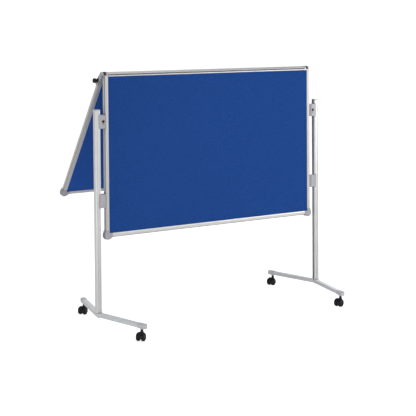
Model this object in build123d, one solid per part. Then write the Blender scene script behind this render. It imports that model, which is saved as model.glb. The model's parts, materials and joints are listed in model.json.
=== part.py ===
from build123d import *
import math
import os
from collections import namedtuple

# Foldable mobile presentation board: two framed textile panels hinged along
# the top, on a stand with four twin-wheel castors.
# Millimetres. +X runs along the board (left is -X), +Z is up and the front
# face looks along -Y. The finished object stands on z = 0, centred on x and y.
# It is drawn with y = 0 on the front panel's face and shifted when saved.
# The rear panel is drawn hanging, with the hinge axis at the origin.

# panels
BOARD_W = 1200.0
HALF_W = BOARD_W / 2
FRAME_W = 22.0          # visible width of a frame profile
PANEL_T = 24.0
MID_Y = PANEL_T / 2     # middle of the front panel's thickness
TEXTILE_H = 731.0
TEXTILE_TOP = -7.7      # from the hinge axis
LIP_H = 5.7             # lip of the top rails above the textile
TEXTILE_INSET = 1.8     # textile behind the frame's face
TEXTILE_T = 1.8
CORE_INSET = TEXTILE_INSET + TEXTILE_T
CORE_T = PANEL_T - 2 * CORE_INSET
CHANNEL_U = 12.0        # floor of the core channel, from the frame's outer side
CHANNEL_V = 3.5         # wall beside the core channel
FIT = 0.1               # gap around cores and textiles
CAP_RISE = 34.0         # corner cap along the side frame
CAP_RUN = 38.0          # corner cap along the bottom rail

OPENING_X = HALF_W - FRAME_W
TEXTILE_BOTTOM = TEXTILE_TOP - TEXTILE_H
PANEL_BOTTOM = TEXTILE_BOTTOM - FRAME_W
LIP_TOP = TEXTILE_TOP + LIP_H

# hinge
HINGE_GAP = 1.5         # hinge axis to the facing side of either panel
AXIS_Y = PANEL_T + HINGE_GAP
AXIS_Z = 1183.0
BARREL_R = 14.0
BARREL_BORE = 9.6
BARREL_X = 572.0        # half length of the barrel
CRADLE_R = 14.7
NOTCH_R = 16.0          # round notch in the side frames
BUSH_ROOM_R = 15.5
PIN_R = 4.0
RUN = 0.05              # radial running clearance
OPEN_DEG = 35.7         # rear panel's opening angle
ARM_X = HALF_W + 3.2    # outer face of the hinge arms
ARM_SCREWS = [(13.5, -22.0), (13.5, -61.0)]     # y, z from the hinge axis
RAIL_SCREW_Y, RAIL_SCREW_Z = 17.0, -11.5        # from the axis; y is -17 in front
RAIL_BOTTOM = -36.0     # lower end of the top rails' short sides
CORE_TOP = -16.6
KNOB_Y, KNOB_Z = 11.0, -41.0
STUD_R = 3.0
SCREW_R = 2.0
SCREW_HOLE_R = 2.05

# stand
UPRIGHT_X, UPRIGHT_Y = 636.0, 8.0
UPRIGHT_S = 27.0        # side of the square section
UPRIGHT_R = 5.5
UPRIGHT_TOP = 1024.0
UPRIGHT_CAP_T = 5.0
CHAMBER_X = -UPRIGHT_X - 2.3    # middle of the left upright's chamber
LEG_TOP = 78.5
LEG_W, LEG_H, LEG_R = 28.0, 19.5, 4.5
LEG_MID_Z = LEG_TOP - LEG_H / 2
UPRIGHT_BOTTOM = LEG_TOP + 0.1
CASTOR_X = 568.0        # castor swivel axes
CASTOR_DY = 289.5       # from the upright's y
LEG_TIP = 27.0          # end cap beyond the castor axis
LEG_CAP = 16.0          # end cap before the castor axis
SPREAD_X = UPRIGHT_X - CASTOR_X
LEG_LEN = math.hypot(SPREAD_X, CASTOR_DY)
LEG_SPLAY = math.degrees(math.atan2(SPREAD_X, CASTOR_DY))   # from the y axis

# brackets
BRACKET_H = 64.0
BRACKET_FRONT = -8.2
BRACKET_HIGH_Z, BRACKET_LOW_Z = 967.5, 598.5
BOARD_SCREW_Z = [z + dz for z in (BRACKET_HIGH_Z, BRACKET_LOW_Z) for dz in (-24, 24)]
CLAMP_X, CLAMP_Z = HALF_W + 10, BRACKET_HIGH_Z + 1.0
SET_X, SET_Z = HALF_W + 8.5, BRACKET_HIGH_Z - 11.0
SCREW_SEAT_X = HALF_W + 17.9    # seat of the board screws' heads

# castors
WHEEL_R = 19.3
WHEEL_Z = 22.8          # wheel centre as drawn
WHEEL_IN, WHEEL_OUT = 4.1, 21.2
TRAIL = 14.5            # axle behind the swivel axis
AXLE_R = 3.0
NECK_R = 6.5
NECK_TOP = 53.4
STEM_R = 4.0
# key: (x side, y side, axle heading clockwise from +X in degrees)
CASTORS = {"fl": (-1, -1, 48.0), "rl": (-1, 1, 52.0),
           "fr": (1, -1, 72.0), "rr": (1, 1, 68.0)}

Y_SHIFT = -89.228               # centres the box of the whole object
Z_SHIFT = WHEEL_R - WHEEL_Z     # sets the wheels down on the floor

Panel = namedtuple("Panel", "face_y axis_y axis_z bottom")
FRONT = Panel(0.0, AXIS_Y, AXIS_Z, AXIS_Z + PANEL_BOTTOM)
REAR = Panel(HINGE_GAP, 0.0, 0.0, PANEL_BOTTOM)


# ----- helpers ---------------------------------------------------------------
def prism_x(points, x0, x1):
    """prism along x from a (y, z) outline"""
    face = make_face(Polyline(*[(0, y, z) for y, z in points], close=True))
    return Pos(x0, 0, 0) * extrude(face, amount=x1 - x0, dir=(1, 0, 0))


def prism_z(points, z0, z1):
    """prism along z from an (x, y) outline"""
    face = make_face(Polyline(*[(x, y, 0) for x, y in points], close=True))
    return Pos(0, 0, z0) * extrude(face, amount=z1 - z0, dir=(0, 0, 1))


def block(x0, x1, y0, y1, z0, z1):
    centre = Pos((x0 + x1) / 2, (y0 + y1) / 2, (z0 + z1) / 2)
    return centre * Box(x1 - x0, y1 - y0, z1 - z0)


def rod_x(y, z, radius, x0, x1):
    return Pos((x0 + x1) / 2, y, z) * Rot(0, 90, 0) * Cylinder(radius, abs(x1 - x0))


def rod_y(x, z, radius, y0, y1):
    return Pos(x, (y0 + y1) / 2, z) * Rot(90, 0, 0) * Cylinder(radius, abs(y1 - y0))


def rod_z(x, y, radius, z0, z1):
    return Pos(x, y, (z0 + z1) / 2) * Cylinder(radius, z1 - z0)


def rounded_post(x, z0, side_x, side_y, radius, height):
    """upright prism of rounded rectangular section at the upright's y"""
    section = RectangleRounded(side_x, side_y, radius)
    return Pos(x, UPRIGHT_Y, z0) * extrude(section, amount=height, dir=(0, 0, 1))


def spun_x(outline):
    """solid of revolution about x from an (x, radius) outline"""
    face = make_face(Polyline(*[(x, radius, 0) for x, radius in outline], close=True))
    return revolve(face, Axis.X, 360)


def mirrored(shape):
    return mirror(shape, about=Plane.YZ)


def both(shape):
    return [shape, mirrored(shape)]


def circles(shape):
    return shape.edges().filter_by(GeomType.CIRCLE)


def eased(shape, edges, radius):
    # guards against a fillet the kernel refuses: the edges then stay sharp
    try:
        return fillet(edges, radius)
    except Exception:
        return shape


def save(name, shapes, swung=False):
    """write one node; swung turns the hanging rear panel to its opening angle"""
    if not isinstance(shapes, (list, tuple)):
        shapes = [shapes]
    solids = []
    for shape in shapes:
        if swung:
            shape = Pos(0, AXIS_Y, AXIS_Z) * Rot(OPEN_DEG, 0, 0) * shape
        shape = Pos(0, Y_SHIFT, Z_SHIFT) * shape
        solids += list(shape.solids())
    node = solids[0] if len(solids) == 1 else Compound(children=solids)
    export_step(node, "parts/%s.step" % name)


def save_sides(name, left, swung=False):
    save(name + "_left", left, swung)
    save(name + "_right", mirrored(left), swung)


# ----- frame members, shared by both panels ----------------------------------
def frame_profile(plane):
    """section with bevelled plates, a round nose, a chamber and the core channel"""
    # u from the outer side inwards, v from the panel's front face backwards
    front = [(FRAME_W, CHANNEL_V), (FRAME_W, 1.4), (17, 0), (5.8, 0), (5, 0.8), (5, 5.6), (3.4, 5.9)]
    rear = [(u, PANEL_T - v) for u, v in reversed(front)]
    channel = [(CHANNEL_U, PANEL_T - CHANNEL_V), (CHANNEL_U, CHANNEL_V), front[0]]
    rear_run = rear + channel
    lines = [Line(a, b) for a, b in zip(front, front[1:])]
    lines.append(ThreePointArc(front[-1], (0, PANEL_T / 2), rear[0]))
    lines += [Line(a, b) for a, b in zip(rear_run, rear_run[1:])]
    face = make_face(Curve() + lines)
    face -= Pos(7.2, PANEL_T / 2, 0) * Rectangle(6.4, 9.6)
    return plane * face


def side_frame(panel):
    """left side frame with the round notch at the hinge"""
    z0, z1 = panel.bottom + CAP_RISE, panel.axis_z + LIP_TOP
    plane = Plane(origin=(-HALF_W, panel.face_y, z0), x_dir=(1, 0, 0), z_dir=(0, 0, 1))
    frame = extrude(frame_profile(plane), amount=z1 - z0, dir=(0, 0, 1))
    notch = rod_x(panel.axis_y, panel.axis_z, NOTCH_R, -HALF_W - 1, -OPENING_X + 0.5)
    return frame - notch


def bottom_rail(panel):
    half = HALF_W - CAP_RUN
    plane = Plane(origin=(half, panel.face_y, panel.bottom), x_dir=(0, 0, 1), z_dir=(-1, 0, 0))
    return extrude(frame_profile(plane), amount=2 * half, dir=(-1, 0, 0))


def corner_cap(panel):
    """left corner cap: a body with three discs and two prongs"""
    left, face, zb = -HALF_W, panel.face_y, panel.bottom
    back = face + PANEL_T
    past = (face - 5, back + 5)     # y range of the through cuts
    joint = 0.05
    disc_x, disc_z, disc_r = left + 17, zb + 12.5, 20.8
    body = block(left + 0.6, left + FRAME_W, face + 0.3, back - 0.3,
                 zb + 0.6, zb + CAP_RISE - joint)
    body += block(left + 0.6, left + CAP_RUN - joint, face + 0.3, back - 0.3,
                  zb + 0.6, zb + FRAME_W)
    corner = block(left - 30, left + 9, *past, zb - 30, zb + 9)
    body -= corner - rod_y(left + 9, zb + 9, 8.4, *past)
    front = rod_y(disc_x, disc_z, disc_r, face - 0.8, face + 5.2)
    rear = rod_y(disc_x, disc_z, disc_r, back - 5.2, back + 0.8)
    nose = rod_y(left + 12, disc_z - 1, 20.0, face + 6.4, back - 6.4)
    front = fillet(circles(front).sort_by(Axis.Y)[0], 1.6)
    rear = fillet(circles(rear).sort_by(Axis.Y)[-1], 1.6)
    nose = fillet(circles(nose), 4.2)
    cap = body + front + rear + nose
    # the opening of the panel and the core's corner stay free
    cap -= block(left + FRAME_W, left + 80, *past, zb + FRAME_W, zb + 80)
    cap -= block(left + CHANNEL_U, left + 80, face + CHANNEL_V, back - CHANNEL_V,
                 zb + CHANNEL_U, zb + 80)
    # the frame members start where the cap ends
    cap -= block(left - 0.1, left + FRAME_W + 0.1, *past, zb + CAP_RISE, zb + 90)
    cap -= block(left + CAP_RUN, left + 90, *past, zb - 0.1, zb + FRAME_W + 0.1)
    cap -= block(left + CAP_RUN, left + 90, *past, zb - 30, zb)
    cap -= block(left - 30, left, *past, zb + CAP_RISE, zb + 90)
    # prongs in the chambers of the side frame and the bottom rail
    prong_y = (face + 7.4, back - 7.4)
    cap += block(left + 4.2, left + 10.2, *prong_y, zb + 20, zb + 64)
    cap += block(left + 20, left + 68, *prong_y, zb + 4.2, zb + 10.2)
    return cap


def core(panel, groove_y):
    """core board, grooved from groove_y on for the top rail's rib"""
    y0 = panel.face_y + CORE_INSET
    half = HALF_W - CHANNEL_U - FIT
    board = block(-half, half, y0, y0 + CORE_T,
                  panel.bottom + CHANNEL_U + FIT, panel.axis_z + CORE_TOP)
    board -= block(-OPENING_X - 0.2, OPENING_X + 0.2, groove_y, groove_y + 3.0,
                   panel.axis_z - 26.3, panel.axis_z)
    return board


def textile(panel, at_back, top):
    """textile on the panel's front or back, up to top above the hinge axis"""
    inset = PANEL_T - CORE_INSET if at_back else TEXTILE_INSET
    y0 = panel.face_y + inset
    half = OPENING_X - FIT
    return block(-half, half, y0, y0 + TEXTILE_T,
                 panel.axis_z + TEXTILE_BOTTOM + FIT, panel.axis_z + top - FIT)


# ----- front panel -----------------------------------------------------------
FRONT_SCREW = (AXIS_Y - RAIL_SCREW_Y, AXIS_Z + RAIL_SCREW_Z)    # y, z

# y, z from the hinge axis: lip in front, web, tongue behind, rib below
HINGE_RAIL_OUTLINE = [
    (-21.85, -16.4), (-21.85, -7.6), (-24.1, -7.6), (-25.5, -6.2), (-25.5, -2.8),
    (-24.7, -2), (-20.6, -2), (-19.6, -6.5), (-12, -6.5), (-4, -12.5),
    (-1.5, -13.2), (-1.5, -31), (-2.9, RAIL_BOTTOM), (-5.0, RAIL_BOTTOM), (-5.0, -16.4),
    (-11.6, -16.4), (-11.6, -26), (-14.4, -26), (-14.4, -16.4)]


def front_frame():
    left = side_frame(FRONT)
    left -= rod_x(*FRONT_SCREW, SCREW_HOLE_R, -HALF_W - 1, -OPENING_X + 1)
    left -= rod_x(*FRONT_SCREW, 4.0, -HALF_W - 1, -HALF_W + 2.6)
    for z in BOARD_SCREW_Z:
        left -= rod_x(MID_Y, z, SCREW_HOLE_R, -HALF_W - 1, -HALF_W + 6)
    save_sides("front_side_frame", left)
    save("front_bottom_rail", bottom_rail(FRONT))
    save("front_corner_caps", both(corner_cap(FRONT)))


def hinge_rail():
    """top rail of the front panel with the hinge barrel"""
    outline = [(AXIS_Y + y, AXIS_Z + z) for y, z in HINGE_RAIL_OUTLINE]
    rail = prism_x(outline, -OPENING_X, OPENING_X)
    rail += rod_x(AXIS_Y, AXIS_Z, BARREL_R, -BARREL_X, BARREL_X)
    rail -= rod_x(AXIS_Y, AXIS_Z, BARREL_BORE, -BARREL_X - 1, BARREL_X + 1)
    # groove along the barrel, and room for the bush flanges at its ends
    rail -= block(-OPENING_X - 1, OPENING_X + 1, AXIS_Y - 16, AXIS_Y - 10.9,
                  AXIS_Z - 2.6, AXIS_Z + 2.4)
    for side in (-1, 1):
        rail -= rod_x(AXIS_Y, AXIS_Z, BUSH_ROOM_R,
                      side * (BARREL_X - 0.05), side * (OPENING_X + 8))
        rail -= rod_x(*FRONT_SCREW, SCREW_R, side * (OPENING_X + 1), side * (OPENING_X - 22))
    save("hinge_rail", rail)


def hinge_rail_screws():
    under_head = -HALF_W + 2.6
    screw = rod_x(*FRONT_SCREW, 3.8, -HALF_W + 0.4, under_head)
    screw += rod_x(*FRONT_SCREW, SCREW_R, under_head, -OPENING_X + 20)
    save("hinge_rail_screws", both(screw))


def front_filling():
    save("front_core", core(FRONT, AXIS_Y - 14.5))
    save("front_textile_front", textile(FRONT, False, TEXTILE_TOP))
    save("front_textile_rear", textile(FRONT, True, RAIL_BOTTOM))


def hinge_bushes():
    """bushes in the barrel's ends, with a flange against the hinge arms"""
    outer_x, inner_x = -594, -548
    bush = rod_x(AXIS_Y, AXIS_Z, 15.0, outer_x, -BARREL_X)
    bush += rod_x(AXIS_Y, AXIS_Z, BARREL_BORE - 0.05, -BARREL_X, inner_x)
    bush = fillet(circles(bush).sort_by(Axis.X)[0], 2.4)
    bush -= rod_x(AXIS_Y, AXIS_Z, PIN_R + RUN, outer_x - 1, inner_x + 1)
    save("hinge_bushes", both(bush))


# ----- rear panel, hanging from the hinge axis at the origin -----------------
REAR_SCREW = (RAIL_SCREW_Y, RAIL_SCREW_Z)

# y, z: lip on the outer side, web, tongue inside, rib below
WING_RAIL_OUTLINE = [
    (21.85, -16.4), (21.85, -7.6), (24.1, -7.6), (25.5, -6.2), (25.5, -2.8),
    (24.7, -2), (12, -2), (1.5, -12), (1.5, -31), (2.9, RAIL_BOTTOM),
    (5, RAIL_BOTTOM), (5, -16.4), (11.6, -16.4), (11.6, -26), (14.4, -26), (14.4, -16.4)]


def wing_frame():
    left = side_frame(REAR)
    left -= rod_x(KNOB_Y, KNOB_Z, STUD_R + 0.1, -HALF_W - 1, -HALF_W + 8.6)
    for y, z in ARM_SCREWS:
        left -= rod_x(y, z, SCREW_HOLE_R, -HALF_W - 1, -HALF_W + 6)
    left -= rod_x(*REAR_SCREW, SCREW_HOLE_R, -HALF_W - 1, -OPENING_X + 1)
    save_sides("wing_side_frame", left, True)
    save("wing_bottom_rail", bottom_rail(REAR), True)
    save("wing_corner_caps", both(corner_cap(REAR)), True)


def wing_top_rail():
    """top rail of the rear panel with a cradle around the barrel"""
    rail = prism_x(WING_RAIL_OUTLINE, -OPENING_X, OPENING_X)
    rail -= rod_x(0, 0, CRADLE_R, -OPENING_X - 1, OPENING_X + 1)
    for side in (-1, 1):
        rail -= rod_x(0, 0, BUSH_ROOM_R, side * (BARREL_X - 0.4), side * (OPENING_X + 8))
        rail -= rod_x(*REAR_SCREW, SCREW_R, side * (OPENING_X + 1), side * (OPENING_X - 22))
    save("wing_top_rail", rail, True)


def wing_rail_screws():
    channel_x = -HALF_W + CHANNEL_U
    screw = rod_x(*REAR_SCREW, 3.4, channel_x + 0.1, channel_x + 2.2)
    screw += rod_x(*REAR_SCREW, SCREW_R, channel_x + 2.2, -OPENING_X + 20)
    save("wing_rail_screws", both(screw), True)


def wing_filling():
    save("wing_core", core(REAR, 11.5), True)
    save("wing_textile_inner", textile(REAR, False, RAIL_BOTTOM), True)
    save("wing_textile_outer", textile(REAR, True, TEXTILE_TOP), True)


def hinge_arms():
    """eye around the pin and a tapering plate down the side of the panel"""
    plate_x = (-ARM_X, -HALF_W - 0.2)
    top, low = (0.0, 0.0, 13.0), (13.0, -60.0, 10.0)    # y, z, radius of the ends
    eye = rod_x(*top, -ARM_X, -594.8)
    # the plate's straight sides are tangent to its round ends
    lean = math.atan2(low[1] - top[1], low[0] - top[0])
    distance = math.hypot(low[0] - top[0], low[1] - top[1])
    spread = math.acos((top[2] - low[2]) / distance)
    tangents = []
    for (y, z, radius), side in ((top, 1), (low, 1), (low, -1), (top, -1)):
        angle = lean + side * spread
        tangents.append((y + radius * math.cos(angle), z + radius * math.sin(angle)))
    plate = prism_x(tangents, *plate_x) + rod_x(*top, *plate_x) + rod_x(*low, *plate_x)
    arm = plate + eye
    arm = eased(arm, arm.faces().sort_by(Axis.X)[0].edges(), 0.8)
    arm -= rod_x(0, 0, PIN_R, -605, -590)
    arm -= rod_x(KNOB_Y, KNOB_Z, STUD_R + 0.1, -605, -599)
    for y, z in ARM_SCREWS:
        arm -= rod_x(y, z, SCREW_HOLE_R, -605, -599)
    save_sides("hinge_arm", arm, True)


def hinge_pins():
    pin = rod_x(0, 0, PIN_R, -ARM_X, -550) + rod_x(0, 0, 9.0, -ARM_X - 2.4, -ARM_X)
    pin = eased(pin, circles(pin).sort_by(Axis.X)[0:1], 1.6)
    save("hinge_pins", both(pin), True)


def arm_screw(y, z):
    screw = rod_x(y, z, 3.9, -ARM_X - 1.8, -ARM_X)
    screw = eased(screw, circles(screw).sort_by(Axis.X)[0:1], 1.0)
    screw += rod_x(y, z, SCREW_R, -ARM_X, -591.5)
    screw -= rod_x(y, z, 1.3, -606, -604.0)
    return screw


def hinge_arm_screws():
    screws = [arm_screw(y, z) for y, z in ARM_SCREWS]
    save("hinge_arm_screws", screws + [mirrored(screw) for screw in screws], True)


# x, radius: flared foot, neck and round head
KNOB_OUTLINE = [
    (-603.5, 0), (-603.5, 10.8), (-605.4, 10.4), (-608.2, 7.8), (-610.0, 7.2), (-611.8, 8.4),
    (-614.0, 11.0), (-618.0, 12.0), (-622.4, 11.6), (-625.8, 9.6), (-627.4, 5.4), (-627.8, 0)]


def lock_knobs():
    """knobs with eight flutes, on their studs"""
    flutes, flute_r, flute_ring = 8, 3.0, 13.9
    knob = spun_x(KNOB_OUTLINE)
    for k in range(flutes):
        angle = math.radians(360 / flutes * k)
        place = Pos(-621, flute_ring * math.cos(angle), flute_ring * math.sin(angle))
        knob -= place * Rot(0, 90, 0) * Cylinder(flute_r, 18)
    knob -= rod_x(0, 0, STUD_R, -616, -603)
    save_sides("lock_knob", Pos(0, KNOB_Y, KNOB_Z) * knob, True)
    save_sides("knob_stud", rod_x(KNOB_Y, KNOB_Z, STUD_R, -616, -592), True)


# ----- stand, drawn on the left ----------------------------------------------
def uprights():
    """rounded square tube with a T slot towards the board"""
    edge = UPRIGHT_S / 2
    section = RectangleRounded(UPRIGHT_S, UPRIGHT_S, UPRIGHT_R)
    section -= Pos(edge - 1.0, 0) * Rectangle(4.0, 8.2)
    section -= Pos(edge - 5.0, 0) * Rectangle(5.6, 14.2)
    section -= Pos(CHAMBER_X + UPRIGHT_X, 0) * RectangleRounded(18.4, 23.0, 3.6)
    # two shallow grooves on the front and on the rear face
    for side in (-1, 1):
        for x in (-4.6, 4.6):
            section -= Pos(x, side * edge) * Rectangle(1.6, 1.6)
    height = UPRIGHT_TOP - UPRIGHT_CAP_T - UPRIGHT_BOTTOM
    tube = extrude(section, amount=height, dir=(0, 0, 1))
    save_sides("upright", Pos(-UPRIGHT_X, UPRIGHT_Y, UPRIGHT_BOTTOM) * tube)


def upright_caps():
    side = UPRIGHT_S + 0.3
    cap = rounded_post(-UPRIGHT_X, UPRIGHT_TOP - UPRIGHT_CAP_T, side, side, UPRIGHT_R,
                       UPRIGHT_CAP_T)
    cap = eased(cap, cap.faces().sort_by(Axis.Z)[-1].edges(), 1.4)
    cap += rounded_post(CHAMBER_X, UPRIGHT_TOP - 17, 18.0, 22.6, 3.4, 14)
    save("upright_caps", both(cap))


def leg_bar(start, end, grow, corner_grow, side):
    """bar along a left leg, grow wider than its tube; side -1 front, 1 rear"""
    section = Plane.XZ * RectangleRounded(LEG_W + grow, LEG_H + grow, LEG_R + corner_grow)
    bar = Pos(0, start, 0) * extrude(section, amount=end - start, dir=(0, 1, 0))
    if side < 0:
        bar = mirror(bar, about=Plane.XZ)
    return Pos(-UPRIGHT_X, UPRIGHT_Y, LEG_MID_Z) * Rot(0, 0, -side * LEG_SPLAY) * bar


def leg_pair(end, grow, corner_grow):
    """front and rear bar, mitred under the upright"""
    x_range = (-UPRIGHT_X - 60, -UPRIGHT_X + 200)
    front_half = block(*x_range, UPRIGHT_Y - 400, UPRIGHT_Y, 0, 200)
    rear_half = block(*x_range, UPRIGHT_Y, UPRIGHT_Y + 400, 0, 200)
    front = leg_bar(-20, end, grow, corner_grow, -1) & front_half
    rear = leg_bar(-20, end, grow, corner_grow, 1) & rear_half
    return front + rear


def feet():
    """V of two tubes, open at the ends"""
    foot = leg_pair(LEG_LEN - LEG_CAP, 0, 0)
    foot -= leg_pair(LEG_LEN, -4, -2)
    foot -= rod_z(-UPRIGHT_X, UPRIGHT_Y, 4.2, 50, 90)
    save_sides("foot", foot)


def foot_bolts():
    head_z, washer_z, shank_z = 53.4, 57.6, 59.0
    hexagon = extrude(RegularPolygon(6.5, 6), amount=washer_z - head_z, dir=(0, 0, 1))
    bolt = Pos(-UPRIGHT_X, UPRIGHT_Y, head_z) * hexagon
    bolt += rod_z(-UPRIGHT_X, UPRIGHT_Y, 8.0, washer_z, shank_z)
    bolt += rod_z(-UPRIGHT_X, UPRIGHT_Y, 4.0, shank_z, 108)
    save("foot_bolts", both(bolt))


def upright_inserts():
    insert = rounded_post(CHAMBER_X, UPRIGHT_BOTTOM, 18.2, 22.8, 3.5, 36)
    insert -= rod_z(-UPRIGHT_X, UPRIGHT_Y, 4.05, 70, 120)
    save("upright_inserts", both(insert))


def leg_end_cap(side):
    """cap with a round tip, a plug in the leg and the castor's socket"""
    grow = 1.4
    start, tip_s = LEG_LEN - LEG_CAP, LEG_LEN + LEG_TIP - 12.0
    cap = leg_bar(start, tip_s, grow, 0.6, side)
    splay = math.radians(LEG_SPLAY)
    tip_x = -UPRIGHT_X + tip_s * math.sin(splay)
    tip_y = UPRIGHT_Y + side * tip_s * math.cos(splay)
    tip = Pos(tip_x, tip_y, LEG_MID_Z) * Cylinder((LEG_W + grow) / 2, LEG_H + grow)
    cap += fillet(circles(tip), LEG_R)
    socket_x, socket_y = -CASTOR_X, UPRIGHT_Y + side * CASTOR_DY
    collar_h = 7.2
    cap += Pos(socket_x, socket_y, 53.8 + collar_h / 2) * Cone(8.2, 9.8, collar_h)
    cap += leg_bar(start - 30, start, -4.3, -2.2, side)
    cap -= rod_z(socket_x, socket_y, STEM_R, 50, 74)
    return cap


def leg_end_caps():
    caps = [leg_end_cap(-1), leg_end_cap(1)]
    save("leg_end_caps", caps + [mirrored(cap) for cap in caps])


# ----- brackets between uprights and front panel, drawn on the right ---------
def bracket(mid_z, upper):
    inner_x = UPRIGHT_X - UPRIGHT_S / 2 - 0.2     # against the upright's side
    step_y = UPRIGHT_Y - UPRIGHT_S / 2 - 0.2      # in front of the upright
    tail_y = UPRIGHT_Y + 10.0
    outline = [
        (HALF_W - 4.85, 0.2), (HALF_W + 1.5, BRACKET_FRONT), (HALF_W + 31, BRACKET_FRONT),
        (HALF_W + 32, BRACKET_FRONT + 0.9), (HALF_W + 32, step_y), (inner_x, step_y),
        (inner_x, tail_y), (HALF_W + 1.0, tail_y), (HALF_W + 0.4, 12.0), (HALF_W - 4.85, 3.9)]
    body = prism_z(outline, mid_z - BRACKET_H / 2, mid_z + BRACKET_H / 2)
    front_edges = body.faces().sort_by(Axis.Y)[0].edges()
    level_edges = [e for e in front_edges if abs((e @ 0).Z - (e @ 1).Z) < 0.1]
    # guards against a chamfer the kernel refuses: the edges then stay sharp
    try:
        body = chamfer(level_edges, 1.8)
    except Exception:
        pass
    # seat for the round nose of the side frame
    body -= Pos(HALF_W - 7.17, MID_Y, mid_z) * Cylinder(7.32, BRACKET_H + 2)
    # T-shaped key in the upright's slot
    key_z = (mid_z - 12, mid_z + 12)
    key = block(inner_x - 0.3, inner_x + 2.9, UPRIGHT_Y - 3.9, UPRIGHT_Y + 3.9, *key_z)
    key += block(inner_x + 2.7, inner_x + 7.3, UPRIGHT_Y - 6.7, UPRIGHT_Y + 6.7, *key_z)
    body += key
    for dz in (-24, 24):
        body -= rod_x(MID_Y, mid_z + dz, SCREW_HOLE_R, HALF_W - 6, HALF_W + 24)
        body -= rod_x(MID_Y, mid_z + dz, 4.3, SCREW_SEAT_X, HALF_W + 24)
    if upper:
        body -= rod_y(CLAMP_X, CLAMP_Z, 2.55, -12, 14)
        body -= rod_y(CLAMP_X, CLAMP_Z, 6.9, -12, BRACKET_FRONT + 3.0)
        body -= rod_y(SET_X, SET_Z, 2.4, -12, 6.2)
    return body


def brackets():
    for level, mid_z in (("upper", BRACKET_HIGH_Z), ("lower", BRACKET_LOW_Z)):
        right = bracket(mid_z, level == "upper")
        save("bracket_%s_right" % level, right)
        save("bracket_%s_left" % level, mirrored(right))


def bracket_clamp_screws():
    """socket head screws in the upper brackets"""
    seat_y, hex_r = BRACKET_FRONT + 3.0, 2.9
    screw = rod_y(CLAMP_X, CLAMP_Z, 5.4, BRACKET_FRONT - 0.6, seat_y)
    screw = eased(screw, circles(screw).sort_by(Axis.Y)[0:1], 0.7)
    screw += rod_y(CLAMP_X, CLAMP_Z, 2.5, seat_y, 13.5)
    corners = []
    for k in range(6):
        angle = math.radians(60 * k)
        corners.append((CLAMP_X + hex_r * math.cos(angle), BRACKET_FRONT - 2,
                        CLAMP_Z + hex_r * math.sin(angle)))
    hexagon = make_face(Polyline(*corners, close=True))
    screw -= extrude(hexagon, amount=4.2, dir=(0, 1, 0))
    save("bracket_clamp_screws", both(screw))


def bracket_small_screws():
    save("bracket_set_screws", both(rod_y(SET_X, SET_Z, 2.3, BRACKET_FRONT + 3.4, 6.0)))
    screws = []
    for z in BOARD_SCREW_Z:
        head = rod_x(MID_Y, z, 4.0, SCREW_SEAT_X, HALF_W + 21.0)
        screws += both(head + rod_x(MID_Y, z, SCREW_R, HALF_W - 8.5, SCREW_SEAT_X))
    save("bracket_board_screws", screws)


# ----- castors: local x along the axle, wheels trailing to local -y ----------
# x, radius of one wheel
WHEEL_OUTLINE = [
    (WHEEL_IN, AXLE_R + RUN), (WHEEL_IN, 15.0), (4.6, 16.5), (5.9, 17.9), (8.0, 18.9),
    (10.2, WHEEL_R), (13.6, WHEEL_R), (16.0, 18.8), (18.3, 17.5), (20.0, 15.4), (21.0, 12.5),
    (WHEEL_OUT, 11.0), (20.7, 10.2), (19.9, 9.8), (19.7, 6.2), (20.5, 5.6), (20.7, 4.6),
    (20.7, AXLE_R + RUN)]


def castor_housing():
    """fin between the wheels, fender over their tops, and the neck"""
    hub = Pos(0, -TRAIL, WHEEL_Z) * Rot(0, 90, 0)
    wheel_room_r, neck_step_z = 20.0, 45.3
    body = hub * Cylinder(20.7, 7.4)
    body -= block(-20, 20, -60, 40, -10, WHEEL_Z - 8.0)
    body -= block(-20, 20, -TRAIL - 40, -TRAIL - 14.0, -10, WHEEL_Z + 6.0)
    body += block(-3.7, 3.7, -TRAIL, 6.0, WHEEL_Z - 6.0, WHEEL_Z + 20.5)
    fender = hub * Cylinder(21.9, 24.0)
    fender -= hub * Cylinder(wheel_room_r, 30.0)
    fender &= block(-30, 30, -TRAIL - 9.0, -TRAIL + 21.5, WHEEL_Z + 7.0, 70)
    body += fender
    neck = rod_z(0, 0, NECK_R + 1.3, WHEEL_Z + 16.4, neck_step_z)
    neck += rod_z(0, 0, NECK_R, neck_step_z, NECK_TOP)
    neck -= hub * Cylinder(wheel_room_r, 30.0)
    body += neck
    body = body.solids().sort_by(SortBy.VOLUME)[-1]
    body -= rod_z(0, 0, STEM_R + RUN, 41.7, 60)
    body -= rod_x(-TRAIL, WHEEL_Z, AXLE_R, -20, 20)
    return body


def castors():
    stems = []
    for key, (side_x, side_y, heading) in CASTORS.items():
        x, y = side_x * CASTOR_X, UPRIGHT_Y + side_y * CASTOR_DY
        stems.append(rod_z(x, y, STEM_R, 41.8, 74.0))
        place = Pos(x, y, 0) * Rot(0, 0, -heading)
        wheel = Pos(0, -TRAIL, WHEEL_Z) * spun_x(WHEEL_OUTLINE)
        axle = rod_x(-TRAIL, WHEEL_Z, AXLE_R, -20.2, 20.2)
        save("castor_%s_housing" % key, place * castor_housing())
        save("castor_%s_axle" % key, place * axle)
        save("castor_%s_wheel_a" % key, place * wheel)
        save("castor_%s_wheel_b" % key, place * mirrored(wheel))
    save("castor_stems", stems)


os.makedirs("parts", exist_ok=True)
for make in (front_frame, hinge_rail, hinge_rail_screws, front_filling, hinge_bushes,
             wing_frame, wing_top_rail, wing_rail_screws, wing_filling,
             hinge_arms, hinge_pins, hinge_arm_screws, lock_knobs,
             uprights, upright_caps, feet, foot_bolts, upright_inserts, leg_end_caps,
             brackets, bracket_clamp_screws, bracket_small_screws, castors):
    make()
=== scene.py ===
import bpy
import bmesh
import json
import math
import random
from mathutils import Matrix, Vector, noise

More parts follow.
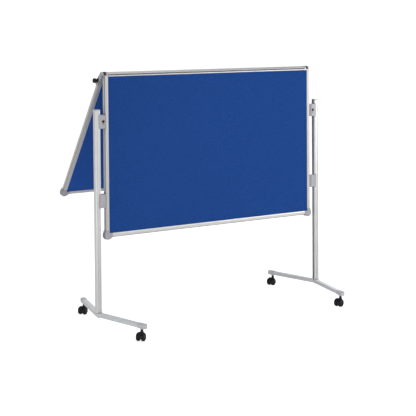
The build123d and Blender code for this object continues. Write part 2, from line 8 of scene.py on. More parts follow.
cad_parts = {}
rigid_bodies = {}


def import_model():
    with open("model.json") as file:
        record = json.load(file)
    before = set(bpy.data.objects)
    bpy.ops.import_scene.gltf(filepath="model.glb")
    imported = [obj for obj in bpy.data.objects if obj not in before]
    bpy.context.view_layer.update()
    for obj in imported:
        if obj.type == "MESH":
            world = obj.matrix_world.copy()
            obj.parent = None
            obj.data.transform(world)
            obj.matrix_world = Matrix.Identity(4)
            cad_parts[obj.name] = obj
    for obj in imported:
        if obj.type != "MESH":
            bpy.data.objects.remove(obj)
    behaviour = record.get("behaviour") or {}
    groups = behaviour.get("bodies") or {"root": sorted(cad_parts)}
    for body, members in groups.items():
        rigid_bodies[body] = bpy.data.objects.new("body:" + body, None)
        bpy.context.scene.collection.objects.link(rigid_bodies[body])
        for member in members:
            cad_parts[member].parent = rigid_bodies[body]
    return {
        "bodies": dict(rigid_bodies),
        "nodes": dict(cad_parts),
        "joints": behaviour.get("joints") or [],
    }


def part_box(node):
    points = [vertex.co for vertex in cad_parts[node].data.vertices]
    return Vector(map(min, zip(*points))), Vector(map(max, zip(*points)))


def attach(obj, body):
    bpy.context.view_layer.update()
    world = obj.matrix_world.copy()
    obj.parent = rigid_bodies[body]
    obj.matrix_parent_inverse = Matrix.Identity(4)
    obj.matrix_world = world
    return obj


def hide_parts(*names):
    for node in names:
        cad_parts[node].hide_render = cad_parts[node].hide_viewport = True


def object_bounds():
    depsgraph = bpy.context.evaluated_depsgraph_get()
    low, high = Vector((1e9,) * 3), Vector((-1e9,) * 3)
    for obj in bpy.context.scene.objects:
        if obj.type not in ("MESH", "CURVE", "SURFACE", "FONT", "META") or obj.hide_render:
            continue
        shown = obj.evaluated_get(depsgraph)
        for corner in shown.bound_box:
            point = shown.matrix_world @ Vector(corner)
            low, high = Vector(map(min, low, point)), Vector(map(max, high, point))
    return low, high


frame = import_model()
cad_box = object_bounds()
random.seed(7)
nodes = frame["nodes"]
joints = {j["name"]: j for j in frame["joints"]}
ROOT = "stand_and_front_board"
WING = "rear_board"

# --------------------------------------------------------------------------
# places, all from the frame: hinge axis, panels, castors
# --------------------------------------------------------------------------
fold = joints["rear_board_fold"]
AX = Vector(fold["pos_m"])
REST = -math.radians(fold["range_deg"][0])          # opening of the rear panel at rest
mm = 0.001


def to_panel(v):
    """row frame -> rear panel's own frame (hanging straight down, hinge axis at the origin)"""
    d = Vector(v) - AX
    c, s = math.cos(-REST), math.sin(-REST)
    return Vector((d.x, d.y * c - d.z * s, d.y * s + d.z * c))


def from_panel(p):
    c, s = math.cos(REST), math.sin(REST)
    return Vector((p[0], p[1] * c - p[2] * s, p[1] * s + p[2] * c)) + AX


def panel_box(name, wing):
    pts = [to_panel(v.co) if wing else v.co.copy() for v in nodes[name].data.vertices]
    lo = Vector([min(p[i] for p in pts) for i in range(3)])
    hi = Vector([max(p[i] for p in pts) for i in range(3)])
    return lo, hi


# --------------------------------------------------------------------------
# node materials
# --------------------------------------------------------------------------
class Mat:
    """small wrapper around a node tree"""

    def __init__(self, name):
        self.m = bpy.data.materials.new(name)
        self.m.use_nodes = True
        self.nt = self.m.node_tree
        self.nt.nodes.clear()
        self.out = self.add("ShaderNodeOutputMaterial")
        self.b = self.add("ShaderNodeBsdfPrincipled")
        self.link(self.b, "BSDF", self.out, "Surface")

    def add(self, kind, **kw):
        n = self.nt.nodes.new(kind)
        for k, v in kw.items():
            setattr(n, k, v)
        return n

    def link(self, a, ao, b, bi):
        self.nt.links.new(a.outputs[ao], b.inputs[bi])

    def coords(self, scale=(1, 1, 1), rot=(0, 0, 0)):
        tc = self.add("ShaderNodeTexCoord")
        mp = self.add("ShaderNodeMapping")
        mp.inputs["Scale"].default_value = scale
        mp.inputs["Rotation"].default_value = rot
        self.link(tc, "Object", mp, "Vector")
        return mp

    def noise(self, src, scale, detail=3.0, rough=0.55):
        n = self.add("ShaderNodeTexNoise")
        n.inputs["Scale"].default_value = scale
        n.inputs["Detail"].default_value = detail
        n.inputs["Roughness"].default_value = rough
        self.link(src, "Vector", n, "Vector")
        return n

    def ramp(self, src, out, stops):
        r = self.add("ShaderNodeValToRGB")
        e = r.color_ramp.elements
        while len(e) < len(stops):
            e.new(0.5)
        for el, (p, c) in zip(e, stops):
            el.position = p
            el.color = (*c, 1) if len(c) == 3 else c
        self.link(src, out, r, "Fac")
        return r

    def math(self, op, a, b=None, clamp=False):
        n = self.add("ShaderNodeMath", operation=op, use_clamp=clamp)
        for i, v in enumerate((a, b)):
            if v is None:
                continue
            if isinstance(v, tuple):
                self.link(v[0], v[1], n, i)
            else:
                n.inputs[i].default_value = v
        return n

    def mix(self, fac, a, b, kind="MIX"):
        n = self.add("ShaderNodeMix", data_type="RGBA", blend_type=kind)
        for idx, v in ((0, fac), (6, a), (7, b)):
            if isinstance(v, tuple) and len(v) == 2 and not isinstance(v[0], (int, float)):
                self.nt.links.new(v[0].outputs[v[1]], n.inputs[idx])
            elif idx == 0:
                n.inputs[0].default_value = v
            else:
                n.inputs[idx].default_value = (*v, 1)
        return n

    def bump(self, height, out, strength, dist, after=None):
        n = self.add("ShaderNodeBump")
        n.inputs["Strength"].default_value = strength
        n.inputs["Distance"].default_value = dist
        self.link(height, out, n, "Height")
        if after:
            self.link(after, "Normal", n, "Normal")
        return n

    def painted_hollow_shade(self, color_node, out, dark, reach=0.007, power=1.6):
        """painted shade: colour darkened by ambient occlusion where little light gets in: recesses, joints, undersides
        of lips
        """
        ao = self.add("ShaderNodeAmbientOcclusion", samples=8)
        ao.inputs["Distance"].default_value = reach
        r = self.math("POWER", (ao, "AO"), power)
        inv = self.math("SUBTRACT", 1.0, (r, "Value"), True)
        return self.mix((inv, "Value"), (color_node, out), dark)

    def painted_edge_highlight(self, lo=0.52, hi=0.62):
        """painted highlight mask: 1 on convex edges"""
        g = self.add("ShaderNodeNewGeometry")
        r = self.ramp(g, "Pointiness", [(lo, (0, 0, 0)), (hi, (1, 1, 1))])
        return r


def felt(name, rot, painted_light_gain=1.0):
    """short-pile textile: fibre tangle over a fine woven ground, soft sheen, slow shade changes; every colour is scaled
    by one brightness factor, painted light that makes lighter and darker copies for the two boards
    """
    def shade(*rgb):
        return tuple(v * painted_light_gain for v in rgb)

    m = Mat(name)
    c = m.coords(rot=rot)
    slow = m.noise(c, 2.3, 2.0)
    mid = m.noise(c, 26.0, 4.0, 0.6)
    fib = m.noise(m.coords(scale=(1.0, 1.0, 0.42), rot=rot), 950.0, 5.0, 0.7)
    fib2 = m.noise(m.coords(scale=(0.45, 1.0, 1.0), rot=rot), 1250.0, 4.0, 0.7)
    wx = m.add("ShaderNodeTexWave", wave_type="BANDS", bands_direction="X")
    wz = m.add("ShaderNodeTexWave", wave_type="BANDS", bands_direction="Z")
    for w in (wx, wz):
        w.inputs["Scale"].default_value = 330.0
        w.inputs["Distortion"].default_value = 1.6
        w.inputs["Detail"].default_value = 1.0
        w.inputs["Detail Scale"].default_value = 2.0
        m.link(c, "Vector", w, "Vector")
    weave = m.math("MULTIPLY", (wx, "Fac"), (wz, "Fac"))
    tuft = m.noise(m.coords(scale=(1.0, 1.0, 0.8), rot=rot), 170.0, 3.0, 0.65)
    fibre = m.math("ADD", m_pair(m.math("MULTIPLY", (fib, "Fac"), 0.5)), m_pair(m.math("MULTIPLY", (fib2, "Fac"), 0.5)))
    base = m.ramp(slow, "Fac", [(0.30, shade(0.0150, 0.0690, 0.285)), (0.72, shade(0.0175, 0.0790, 0.325))])
    dark = m.mix(m_pair(m.ramp(mid, "Fac", [(0.35, (0, 0, 0)), (0.75, (1, 1, 1))]), "Color"), (base, "Color"), shade(0.0150, 0.0640, 0.265))
    tone = m.mix(m_pair(m.ramp(fibre, "Value", [(0.38, (0, 0, 0)), (0.66, (1, 1, 1))]), "Color"), m_pair(dark, 2), shade(0.026, 0.104, 0.41))
    deep = m.mix(m_pair(m.ramp(weave, "Value", [(0.02, (0.35, 0.35, 0.35)), (0.35, (0, 0, 0))]), "Color"), m_pair(tone, 2), shade(0.009, 0.040, 0.175))
    flecked = m.mix(m_pair(m.ramp(tuft, "Fac", [(0.40, (0.55, 0.55, 0.55)), (0.62, (0, 0, 0))]), "Color"), m_pair(deep, 2), shade(0.011, 0.050, 0.215))
    m.link(flecked, 2, m.b, "Base Color")
    m.b.inputs["Roughness"].default_value = 0.93
    m.b.inputs["Specular IOR Level"].default_value = 0.06
    m.b.inputs["Sheen Weight"].default_value = 0.16
    m.b.inputs["Sheen Roughness"].default_value = 0.45
    m.b.inputs["Sheen Tint"].default_value = (0.10, 0.20, 0.55, 1)
    b1 = m.bump(weave, "Value", 0.35, 0.0004)
    b2 = m.bump(fibre, "Value", 0.55, 0.0006, b1)
    b3 = m.bump(mid, "Fac", 0.10, 0.002, b2)
    m.link(b3, "Normal", m.b, "Normal")
    return m.m


def m_pair(n, out=None):
    if out is None:
        out = {"ShaderNodeMath": "Value"}.get(n.bl_idname, 0)
    return (n, out)


def metal(name, color, rough, metallic, grain, grain_amt=0.35, warm=0.0, hollow_shade_color=(0.07, 0.07, 0.074), reach=0.008, power=1.8):
    """anodised or brushed metal: fine lines drawn along the length, slight cloudiness, painted shade in hollows and
    joints, painted highlight on convex edges
    """
    m = Mat(name)
    lines = m.noise(m.coords(scale=grain), 1.0, 5.0, 0.65)
    cloud = m.noise(m.coords(), 9.0, 3.0)
    a = tuple(v * (1 - 0.05) for v in color)
    b = tuple(min(1, v * 1.05 + warm) for v in color)
    base = m.ramp(cloud, "Fac", [(0.30, a), (0.75, b)])
    r = m.ramp(lines, "Fac", [(0.30, tuple(v * 0.93 for v in color)), (0.70, tuple(min(1, v * 1.07) for v in color))])
    lined = m.mix(0.5, (base, "Color"), (r, "Color"))
    # painted highlight: colour lightened on convex edges
    edge_highlight_mask = m.painted_edge_highlight()
    w = m.mix(m_pair(m.math("MULTIPLY", (edge_highlight_mask, "Color"), 0.30)), m_pair(lined, 2), tuple(min(1, v * 1.25 + 0.04) for v in color))
    # painted shade: colour darkened by ambient occlusion in hollows and joints
    g = m.painted_hollow_shade(w, 2, hollow_shade_color, reach, power)
    m.link(g, 2, m.b, "Base Color")
    m.b.inputs["Metallic"].default_value = metallic
    rr = m.ramp(lines, "Fac", [(0.25, (rough - 0.06,) * 3), (0.75, (rough + 0.07,) * 3)])
    m.link(rr, "Color", m.b, "Roughness")
    bm = m.bump(lines, "Fac", grain_amt, 0.00006)
    bv = m.add("ShaderNodeBevel", samples=4)
    bv.inputs["Radius"].default_value = 0.0006
    m.link(bv, "Normal", bm, "Normal")
    m.link(bm, "Normal", m.b, "Normal")
    return m.m


def plastic(name, color, rough, spec=0.5, tex=900.0, amt=0.25, bevel=0.0008, var=0.05, edge_highlight_color=None, coat=0.0):
    """moulded plastic: fine spark-eroded texture, faint flow variation, painted shade in hollows, painted highlight on
    convex edges
    """
    m = Mat(name)
    c = m.coords()
    grit = m.noise(c, tex, 2.0, 0.5)
    flow = m.noise(c, 22.0, 3.0)
    base = m.ramp(flow, "Fac", [(0.3, tuple(v * (1 - var) for v in color)), (0.7, tuple(min(1, v * (1 + var)) for v in color))])
    # painted highlight: colour lightened on convex edges
    edge_highlight_mask = m.painted_edge_highlight()
    edge_highlight_color = edge_highlight_color or tuple(min(1, v * 1.22 + 0.012) for v in color)
    w = m.mix(m_pair(m.math("MULTIPLY", (edge_highlight_mask, "Color"), 0.4)), (base, "Color"), edge_highlight_color)
    # painted shade: colour darkened to 30 percent by ambient occlusion in hollows
    g = m.painted_hollow_shade(w, 2, tuple(v * 0.30 for v in color), 0.006, 1.5)
    m.link(g, 2, m.b, "Base Color")
    rr = m.ramp(flow, "Fac", [(0.25, (rough - 0.05,) * 3), (0.75, (rough + 0.06,) * 3)])
    m.link(rr, "Color", m.b, "Roughness")
    m.b.inputs["Specular IOR Level"].default_value = spec
    m.b.inputs["Coat Weight"].default_value = coat
    bm = m.bump(grit, "Fac", amt, 0.00008)
    bv = m.add("ShaderNodeBevel", samples=4)
    bv.inputs["Radius"].default_value = bevel
    m.link(bv, "Normal", bm, "Normal")
    m.link(bm, "Normal", m.b, "Normal")
    return m.m


def collar(name):
    """plated sleeve that ends in a dark grey plastic rim, on both ends of the hinge barrel"""
    m = Mat(name)
    gp = m.add("ShaderNodeNewGeometry")
    sx = m.add("ShaderNodeSeparateXYZ")
    m.link(gp, "Position", sx, "Vector")
    rim = m.math("GREATER_THAN", m_pair(m.math("ABSOLUTE", (sx, "X"))), 0.5810)
    grit = m.noise(m.coords(), 1100.0, 2.0)
    flow = m.noise(m.coords(), 30.0, 3.0)
    dark = m.ramp(flow, "Fac", [(0.3, (0.030, 0.030, 0.034)), (0.7, (0.040, 0.040, 0.045))])
    light = m.ramp(flow, "Fac", [(0.3, (0.60, 0.60, 0.61)), (0.7, (0.67, 0.67, 0.68))])
    both = m.mix(m_pair(rim), (light, "Color"), (dark, "Color"))
    # painted shade: colour darkened almost to black by ambient occlusion in hollows
    g = m.painted_hollow_shade(both, 2, (0.012, 0.012, 0.013), 0.004, 1.6)
    m.link(g, 2, m.b, "Base Color")
    m.link(m.math("MULTIPLY_ADD", m_pair(rim), -0.62), "Value", m.b, "Metallic")
    m.b.inputs["Metallic"].links[0].from_node.inputs[2].default_value = 0.62
    rr = m.ramp(flow, "Fac", [(0.25, (0.34,) * 3), (0.75, (0.44,) * 3)])
    m.link(rr, "Color", m.b, "Roughness")
    bm = m.bump(grit, "Fac", 0.15, 0.00006)
    bv = m.add("ShaderNodeBevel", samples=4)
    bv.inputs["Radius"].default_value = 0.0008
    m.link(bv, "Normal", bm, "Normal")
    m.link(bm, "Normal", m.b, "Normal")
    return m.m


M = {
    "frame_x": metal("anodised_frame_x", (0.66, 0.655, 0.65), 0.44, 0.66, (6, 2600, 2600), 0.25),
    # painted shade: the front board's side frames are a darker copy (0.56) of the rails' anodised aluminium (0.66)
    "frame_z": metal("anodised_frame_z", (0.56, 0.555, 0.55), 0.48, 0.62, (2600, 2600, 6), 0.25),
    # painted shade: occlusion colours for the barrel (near black, 12 mm reach, darkest in the slot above the front
    # board's lip) and the uprights (grey, 6 mm reach)
    "barrel": metal("anodised_barrel", (0.66, 0.66, 0.67), 0.42, 0.66, (6, 2400, 2400), 0.25, 0.0, (0.012, 0.012, 0.013), 0.012, 2.4),
    "upright": metal("anodised_upright", (0.74, 0.742, 0.74), 0.38, 0.60, (1800, 1800, 4), 0.16, 0.0, (0.22, 0.22, 0.22), 0.006, 1.5),
    "leg": metal("silver_leg", (0.70, 0.71, 0.71), 0.40, 0.42, (900, 900, 900), 0.10),
    "arm": metal("hinge_arm", (0.64, 0.64, 0.67), 0.40, 0.45, (1200, 1200, 1200), 0.2),
    "zinc": metal("zinc_plated", (0.60, 0.61, 0.63), 0.30, 0.95, (1500, 1500, 1500), 0.2),
    "lilac": plastic("grey_plastic", (0.40, 0.392, 0.430), 0.30, spec=0.75),
    "cap": plastic("leg_cap_plastic", (0.60, 0.60, 0.61), 0.44),
    "collar": collar("hinge_collar"),
    # painted highlight: grey colour on convex edges of the black plastic and the wheels
    "black": plastic("black_plastic", (0.0065, 0.0065, 0.0095), 0.32, spec=0.36, tex=1100.0, amt=0.14, edge_highlight_color=(0.025, 0.025, 0.030)),
    "tread": plastic("wheel_plastic", (0.0045, 0.0045, 0.0080), 0.27, spec=0.32, tex=900.0, amt=0.12, edge_highlight_color=(0.028, 0.028, 0.034)),
    "insert": plastic("insert_plastic", (0.05, 0.05, 0.055), 0.6),
    "core": plastic("softboard", (0.36, 0.25, 0.15), 0.9, tex=500.0, amt=0.8, var=0.15),
    # painted light: the front board's textile is a darker copy (0.95) of the rear board's (1.0)
    "felt_front": felt("blue_textile", (0, 0, 0), 0.95),
    "felt_wing": felt("blue_textile_rear_board", (-REST, 0, 0), 1.0),
}
wing_z = "frame_wing"
M[wing_z] = metal("anodised_frame_rear_board", (0.66, 0.655, 0.64), 0.42, 0.66, (2600, 2600, 6), 0.25)
for n in M[wing_z].node_tree.nodes:
    if n.bl_idname == "ShaderNodeMapping":
        n.vector_type = "TEXTURE"
        sc = n.inputs["Scale"].default_value
        n.inputs["Scale"].default_value = (1 / sc[0], 1 / sc[1], 1 / sc[2])
        n.inputs["Rotation"].default_value = (REST, 0, 0)


def paint(o, mat):
    o.data.materials.clear()
    o.data.materials.append(mat)


def pick(n):
    if "core" in n:
        return "core"
    if "textile" in n:
        return "felt_wing" if n.startswith("wing") else "felt_front"
    if n.startswith("castor_") and n != "castor_stems":
        return "zinc" if n.endswith("axle") else ("tread" if "wheel" in n else "black")
    if n == "hinge_bushes":
        return "collar"
    if n.startswith("lock_knob") or n in ("bracket_clamp_screws", "bracket_set_screws"):
        return "black"
    if n in ("leg_end_caps", "upright_caps"):
        return "cap"
    if "corner_caps" in n or n.startswith(("bracket_upper", "bracket_lower")):
        return "lilac"
    if n == "upright_inserts":
        return "insert"
    if n.startswith("foot_") and n != "foot_bolts":
        return "leg"
    if n.startswith("hinge_arm_l") or n.startswith("hinge_arm_r"):
        return "arm"
    if any(k in n for k in ("screw", "bolt", "stud", "stem", "pins")):
        return "zinc"
    if n.startswith("upright"):
        return "upright"
    if n == "hinge_rail":
        return "barrel"
    if "side_frame" in n:
        return wing_z if n.startswith("wing") else "frame_z"
    return "frame_x"


for n, o in nodes.items():
    paint(o, M[pick(n)])
    for p in o.data.polygons:
        p.use_smooth = True
    o.data.set_sharp_from_angle(angle=math.radians(28))


# --------------------------------------------------------------------------
# mesh helpers
# --------------------------------------------------------------------------
def new_object(name, verts, faces, mat, smooth=True, sharp=None):
    me = bpy.data.meshes.new(name)
    me.from_pydata([tuple(v) for v in verts], [], faces)
    me.validate()
    me.update()
    bm = bmesh.new()
    bm.from_mesh(me)
    bmesh.ops.recalc_face_normals(bm, faces=bm.faces)
    bm.to_mesh(me)
    bm.free()
    o = bpy.data.objects.new(name, me)
    bpy.context.scene.collection.objects.link(o)
    me.materials.append(mat)
    for p in me.polygons:
        p.use_smooth = smooth
    if sharp is not None:
        me.set_sharp_from_angle(angle=math.radians(sharp))
    return o


# --------------------------------------------------------------------------
# textile faces: closed sheets with a rounded, tucked edge and a slightly uneven pile
# --------------------------------------------------------------------------
def textile(name, node, wing, outward):
    """outward: -1 if the face looks along -y in the panel's frame, else 1"""
    lo, hi = panel_box(node, wing)
    nx, nz = 150, 96
    r = 1.1 * mm
    yb = hi.y if outward < 0 else lo.y               # back, on the core
    yf = lo.y if outward < 0 else hi.y               # pile
    verts, faces = [], []
    xs = [lo.x + (hi.x - lo.x) * i / nx for i in range(nx + 1)]
    zs = [lo.z + (hi.z - lo.z) * i / nz for i in range(nz + 1)]
    # extra rows close to the edge for the rounding
    extra = [0.25 * mm, 0.6 * mm, 1.1 * mm, 2.2 * mm]
    xs = sorted(set(xs + [lo.x + e for e in extra] + [hi.x - e for e in extra]))
    zs = sorted(set(zs + [lo.z + e for e in extra] + [hi.z - e for e in extra]))
    seed = Vector((3.1 if wing else 0.0, 7.7 * outward, 1.3))
    for z in zs:
        for x in xs:
            d = min(x - lo.x, hi.x - x, z - lo.z, hi.z - z)
            drop = 0.0
            if d < r:
                t = 1 - d / r
                drop = r * (1 - math.sqrt(max(0.0, 1 - t * t)))
            wob = noise.noise(Vector((x, 0, z)) * 14 + seed) * 0.10 * mm + noise.noise(Vector((x, 0, z)) * 3.1 + seed) * 0.16 * mm
            wob *= min(1.0, d / (20 * mm))
            y = yf - outward * (drop + 0.16 * mm) + wob
            verts.append((x, y, z))
    W = len(xs)
    n_front = len(verts)
    for j in range(len(zs) - 1):
        for i in range(W - 1):
            a = j * W + i
            faces.append((a, a + 1, a + W + 1, a + W))
    # rim and back
    ring = [j for j in range(W)] + [k * W + W - 1 for k in range(1, len(zs))] + \
        [(len(zs) - 1) * W + i for i in range(W - 2, -1, -1)] + [k * W for k in range(len(zs) - 2, 0, -1)]
    back = []
    for i in ring:
        v = verts[i]
        back.append(len(verts))
        verts.append((v[0], yb, v[2]))
    for k in range(len(ring)):
        k2 = (k + 1) % len(ring)
        faces.append((ring[k], ring[k2], back[k2], back[k]))
    faces.append(tuple(back))
    if wing:
        verts = [from_panel(v) for v in verts]
    o = new_object(name, verts, faces, M["felt_wing" if wing else "felt_front"])
    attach(o, WING if wing else ROOT)
    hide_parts(node)
    return o


textile("textile_front_board_front", "front_textile_front", False, -1)
textile("textile_front_board_rear", "front_textile_rear", False, 1)
textile("textile_rear_board_inner", "wing_textile_inner", True, -1)
textile("textile_rear_board_outer", "wing_textile_outer", True, 1)

# --------------------------------------------------------------------------
# turned pieces: wheels and knobs
# --------------------------------------------------------------------------
def rounded(points, times=2, keep=()):
    """corner cutting on a profile; points listed in keep stay sharp"""
    for _ in range(times):
        out = [points[0]]
        for i in range(1, len(points) - 1):
            a, b, c = points[i - 1], points[i], points[i + 1]
            if b in keep:
                out.append(b)
                continue
            out.append(tuple(b[k] + (a[k] - b[k]) * 0.25 for k in range(2)))
            out.append(tuple(b[k] + (c[k] - b[k]) * 0.25 for k in range(2)))
        out.append(points[-1])
        points = out
    return points


def lathe(name, profile, origin, axis, mat, seg=96, shape=None, sharp=40):
    """profile: (along the axis, radius) in mm, starting and ending on the axis"""
    axis = Vector(axis).normalized()
    u = axis.orthogonal().normalized()
    if abs(axis.z) < 0.9:
        u = (Vector((0, 0, 1)) - axis * axis.z).normalized()
    v = axis.cross(u)
    origin = Vector(origin)
    verts, faces, rings = [], [], []
    for t, r in profile:
        if r < 1e-6:
            rings.append([len(verts)])
            verts.append(origin + axis * (t * mm))
            continue
        ring = []
        for j in range(seg):
            th = 2 * math.pi * j / seg
            rr = r if shape is None else shape(t, r, th)
            ring.append(len(verts))
            verts.append(origin + axis * (t * mm) + (u * math.cos(th) + v * math.sin(th)) * (rr * mm))
        rings.append(ring)
    for a, b in zip(rings, rings[1:]):
        for j in range(seg):
            k = (j + 1) % seg
            if len(a) == 1 and len(b) == 1:
                continue
            if len(a) == 1:
                faces.append((a[0], b[k], b[j]))
            elif len(b) == 1:
                faces.append((a[j], a[k], b[0]))
            else:
                faces.append((a[j], a[k], b[k], b[j]))
    return new_object(name, verts, faces, mat, sharp=sharp)


bore = 3.12
wheel_profile = [(20.35, 0.0), (20.35, bore), (4.15, bore)] + rounded(
    [(4.15, bore), (4.15, 6.5), (4.9, 7.4), (4.9, 13.2), (4.15, 14.0), (4.2, 15.6), (5.4, 17.7), (7.6, 18.8), (10.0, 19.25),
     (13.6, 19.25), (16.2, 18.75), (18.4, 17.4), (20.1, 15.2), (20.95, 12.6), (21.1, 11.2), (20.7, 10.3), (19.7, 9.9),
     (19.2, 9.2), (19.1, 7.6), (19.3, 6.5), (20.2, 6.1), (20.8, 5.2), (21.0, 3.4), (21.05, 0.0)], 2)[1:]


def wheel(key, w):
    ja, jb = joints["castor_%s_wheel_a_spin" % key], joints["castor_%s_wheel_b_spin" % key]
    a, b = Vector(ja["pos_m"]), Vector(jb["pos_m"])
    mid = (a + b) / 2
    out = (a - mid) if w == "a" else (b - mid)
    o = lathe("castor_%s_wheel_%s_turned" % (key, w), wheel_profile, mid, out, M["tread"])
    # webs: five low ribs across the recess
    axis = out.normalized()
    u = (Vector((0, 0, 1)) - axis * axis.z).normalized()
    v = axis.cross(u)
    bm = bmesh.new()
    bm.from_mesh(o.data)
    for k in range(5):
        th = 2 * math.pi * (k + 0.3) / 5
        rad = u * math.cos(th) + v * math.sin(th)
        tan = axis.cross(rad)
        cs = []
        for t in (18.6, 20.0):
            half = 0.85 if t < 19 else 0.6
            for r in (5.9, 10.3):
                for s in (-1, 1):
                    cs.append(bm.verts.new(mid + axis * (t * mm) + rad * (r * mm) + tan * (s * half * mm)))
        for f in ((0, 1, 3, 2), (4, 6, 7, 5), (0, 4, 5, 1), (2, 3, 7, 6), (0, 2, 6, 4), (1, 5, 7, 3)):
            bm.faces.new([cs[i] for i in f])
    bmesh.ops.recalc_face_normals(bm, faces=bm.faces)
    bm.to_mesh(o.data)
    bm.free()
    for q in o.data.polygons:
        q.use_smooth = True
    o.data.set_sharp_from_angle(angle=math.radians(40))
    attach(o, "castor_%s_wheel_%s" % (key, w))
    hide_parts("castor_%s_wheel_%s" % (key, w))


for key in ("fl", "fr", "rl", "rr"):
    for w in "ab":
        wheel(key, w)

# knob: (distance from the middle of the object along x, radius); starts at the foot
knob_outline = rounded(
    [(603.55, 3.1), (603.55, 10.0), (603.7, 10.8), (605.2, 10.6), (607.4, 8.4), (608.8, 7.3), (610.4, 7.3), (611.8, 8.6),
     (613.6, 10.8), (615.6, 11.9), (618.6, 12.0), (621.6, 11.9), (624.4, 11.0), (626.4, 9.0), (627.4, 6.0), (627.6, 4.2),
     (627.0, 3.4), (626.8, 0.0)], 2)


def knob_shape(t, r, th):
    """eight soft finger hollows round the head"""
    if not 610.5 < t < 626.8 or r < 4.5:
        return r
    w = math.sin(math.pi * (t - 610.5) / 16.3) ** 0.6
    c = 0.5 - 0.5 * math.cos(8 * th)
    return r - 1.15 * w * (1 - c) ** 2.2


for side in ("left", "right"):
    j = joints["lock_knob_%s_turn" % side]
    ax = Vector(j["axis"]).normalized()
    base = Vector(j["pos_m"])
    base = base - ax * abs(base.x)
    prof = [(616.2, 0.0), (616.2, 3.1)] + knob_outline
    o = lathe("lock_knob_%s_turned" % side, prof, base, ax, M["black"], 128, knob_shape, 50)
    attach(o, "%s_lock_knob" % side)
    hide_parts("lock_knob_%s" % side)

# --------------------------------------------------------------------------
# stage, light, camera
# --------------------------------------------------------------------------
def stage_floor():
    """floor that sweeps up into a backdrop, far behind the object"""
    pts = []
    for i in range(41):
        t = i / 40
        if t < 0.35:
            pts.append((-14 + 26 * t / 0.35, 0.0))
        elif t < 0.65:
            a = (t - 0.35) / 0.30 * math.pi / 2
            pts.append((12 + 4 * math.sin(a), 4 - 4 * math.cos(a)))
        else:
            pts.append((16, 4 + 12 * (t - 0.65) / 0.35))
    verts, faces = [], []
    for y, z in pts:
        for x in (-22, 26):
            verts.append((x, y, z))
    for i in range(len(pts) - 1):
        faces.append((2 * i, 2 * i + 1, 2 * i + 3, 2 * i + 2))
    m = Mat("floor_white")
    n = m.noise(m.coords(), 1.2, 2.0)
    r = m.ramp(n, "Fac", [(0.3, (0.895, 0.895, 0.897)), (0.7, (0.905, 0.905, 0.905))])
    m.link(r, "Color", m.b, "Base Color")
    m.b.inputs["Roughness"].default_value = 0.8
    m.b.inputs["Specular IOR Level"].default_value = 0.05
    lp = m.add("ShaderNodeLightPath")
    seen = m.math("MULTIPLY", (lp, "Is Camera Ray"), 0.80)
    # only the wall behind the object is bright enough to show in the metal
    gp = m.add("ShaderNodeNewGeometry")
    sx = m.add("ShaderNodeSeparateXYZ")
    m.link(gp, "Position", sx, "Vector")
    mask = []
    for axis, lo, hi, floor in (("X", -5.0, 4.0, 0.10), ("Y", 0.5, 6.0, 0.0)):
        mr = m.add("ShaderNodeMapRange", interpolation_type="SMOOTHSTEP")
        m.link(sx, axis, mr, "Value")
        mr.inputs["From Min"].default_value = lo
        mr.inputs["From Max"].default_value = hi
        mr.inputs["To Min"].default_value = floor
        mask.append((mr, "Result"))
    wall = m.math("MULTIPLY", mask[0], mask[1])
    wall = m.math("MULTIPLY", (wall, "Value"), 0.55)
    mirrored = m.math("MULTIPLY_ADD", (lp, "Is Glossy Ray"), (wall, "Value"))
    m.link(seen, "Value", mirrored, 2)
    bounced = m.math("MULTIPLY_ADD", (lp, "Is Diffuse Ray"), 0.22)
    m.link(mirrored, "Value", bounced, 2)
    m.link(bounced, "Value", m.b, "Emission Strength")
    m.b.inputs["Emission Color"].default_value = (1, 1, 1, 1)
    m.m.cycles.emission_sampling = "NONE"  # it glows for some kinds of ray only; it is not sampled as a light
    o = new_object("studio_floor", verts, faces, m.m)
    return o


stage_floor()


def area(name, loc, target, size, power, color=(1, 1, 1), size_y=None, spread=180):
    l = bpy.data.lights.new(name, "AREA")
    l.energy = power
    l.color = color
    l.shape = "RECTANGLE"
    l.size = size
    l.size_y = size_y or size
    o = bpy.data.objects.new(name, l)
    bpy.context.scene.collection.objects.link(o)
    o.location = loc
    d = Vector(target) - Vector(loc)
    o.rotation_euler = d.to_track_quat("-Z", "Y").to_euler()
    l.spread = math.radians(spread)
    o.visible_camera = False
    return o


world = bpy.data.worlds.new("studio")
bpy.context.scene.world = world
world.use_nodes = True
wt = world.node_tree
bg = wt.nodes["Background"]
# white studio wall behind the object, dimmer room at the sides and behind the camera
wc = wt.nodes.new("ShaderNodeTexCoord")
wd = wt.nodes.new("ShaderNodeVectorMath")
wd.operation = "DOT_PRODUCT"
wd.inputs[1].default_value = (0.5376, 0.8432, 0.0)
wt.links.new(wc.outputs["Generated"], wd.inputs[0])
wm = wt.nodes.new("ShaderNodeMath")
wm.operation = "MULTIPLY_ADD"
wm.inputs[1].default_value = 0.5
wm.inputs[2].default_value = 0.5
wt.links.new(wd.outputs["Value"], wm.inputs[0])
wr = wt.nodes.new("ShaderNodeValToRGB")
wt.links.new(wm.outputs[0], wr.inputs["Fac"])
e = wr.color_ramp.elements
while len(e) < 5:
    e.new(0.5)
for el, (pos, v) in zip(e, ((0.0, 0.34), (0.30, 0.36), (0.55, 0.26), (0.74, 0.30), (0.90, 0.95))):
    el.position = pos
    el.color = (v, v, v * 1.01, 1)
wl = wt.nodes.new("ShaderNodeLightPath")
wx = wt.nodes.new("ShaderNodeMix")
wx.data_type = "RGBA"
wt.links.new(wl.outputs["Is Camera Ray"], wx.inputs[0])
wt.links.new(wr.outputs["Color"], wx.inputs[6])
wx.inputs[7].default_value = (1.0, 1.0, 1.0, 1)
wt.links.new(wx.outputs[2], bg.inputs[0])
bg.inputs[1].default_value = 1.0

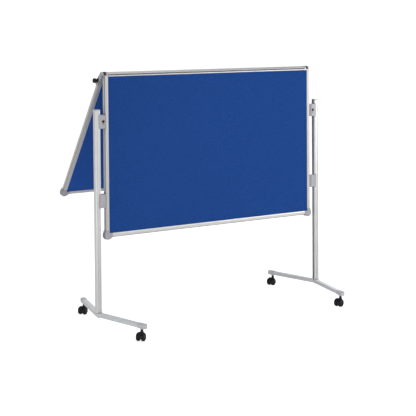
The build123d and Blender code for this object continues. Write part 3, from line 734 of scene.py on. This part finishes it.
ctr = (0, 0, 0.8)
area("softbox_right", (2.5, -2.5, 1.35), (0.45, -0.08, 0.8), 1.3, 27, (1.0, 1.0, 1.0), 1.7)
area("key_front", (0.4, -3.6, 3.0), (0.15, 0, 0.76), 1.6, 2.8, (1.0, 0.99, 0.98), spread=44)
area("fill_front", (0.35, -3.4, 0.95), (-0.3, 0, 0.8), 1.5, 6.5, (1.0, 1.0, 1.0))
area("rim_left", (-2.9, 0.9, 0.9), (-0.6, 0, 0.85), 0.25, 3.0, (1.0, 1.0, 1.0), 1.2)
area("top", (0.0, 0.6, 5.2), (0, 0, 0.4), 4.5, 36)
area("back", (3.9, 3.0, 2.6), (0, 0.2, 0.8), 2.2, 16)
# a low lamp for the inner side of the rear board only
inner = bpy.data.collections.new("lit_from_below")
for o in bpy.data.objects:
    if o.type == "MESH" and o.name.startswith("textile_rear_board_inner"):
        inner.objects.link(o)
under = area("under", (-2.1, -0.35, 0.30), (-0.2, 0.25, 0.8), 0.8, 17)
under.light_linking.receiver_collection = inner
area("low_left", (-2.2, -0.75, 0.35), (-0.3, 0.2, 0.8), 0.9, 6.5, (1.0, 1.0, 1.0))

# camera at the object's viewing angle; the row frame is the drawing's, moved in y
YS = (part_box("front_side_frame_left")[0].y)           # front plane of the front board
cam_data = bpy.data.cameras.new("camera")
cam = bpy.data.objects.new("camera", cam_data)
bpy.context.scene.collection.objects.link(cam)
yaw, pitch, roll = 0.5675641964, 0.0353217601, -0.0068993165
fw = Vector((math.sin(yaw) * math.cos(pitch), math.cos(yaw) * math.cos(pitch), -math.sin(pitch)))
rt = Vector((math.cos(yaw), -math.sin(yaw), 0))
up = rt.cross(fw)
rt2 = rt * math.cos(roll) + up * math.sin(roll)
up2 = -rt * math.sin(roll) + up * math.cos(roll)
rot = Matrix((rt2, up2, -fw)).transposed()
cam.matrix_world = Matrix.Translation((-3.0759, -4.7804 + YS, 1.4083 + AX.z - 1.183)) @ rot.to_4x4()
cam_data.sensor_width = 36
cam_data.sensor_fit = "HORIZONTAL"
cam_data.lens = 1159.156 / 416 * 36
cam_data.shift_x = 0.0
RISE = (66.686 - 208) / 416
cam_data.shift_y = RISE
LENS = cam_data.lens


def from_home(path, here, elsewhere):
    """lens setting used at this standpoint, where it follows the rear board as it is raised, and the one used from anywhere else"""
    d = cam_data.driver_add(path).driver
    d.type = "SCRIPTED"
    for k, i in (("px", 0), ("py", 1)):
        v = d.variables.new()
        v.name = k
        v.type = "SINGLE_PROP"
        v.targets[0].id_type = "OBJECT"
        v.targets[0].id = cam
        v.targets[0].data_path = "location[%d]" % i
    v = d.variables.new()
    v.name = "turn"
    v.type = "TRANSFORMS"
    v.targets[0].id = frame["bodies"][WING]
    v.targets[0].transform_type = "ROT_X"
    v.targets[0].transform_space = "WORLD_SPACE"
    d.expression = "%s if abs(px - (%.6f)) + abs(py - (%.6f)) < 0.01 else %s" % (here, cam.location.x, cam.location.y, elsewhere)


# the lens is shifted only here, and it takes in the whole object when the rear board stands upright
from_home("shift_y", "(%.6f + 0.0874 * max(turn, 0.0))" % RISE, "0.0")
from_home("lens", "%.5f * (1.0 - 0.06 * max(turn, 0.0))" % LENS, "%.5f" % LENS)
cam_data.clip_end = 100
bpy.context.scene.camera = cam
sc = bpy.context.scene
sc.view_settings.view_transform = "Standard"
sc.view_settings.look = "None"
sc.view_settings.exposure = 0.0
sc.view_settings.gamma = 1.0

lo, hi = cad_box[0], cad_box[1]
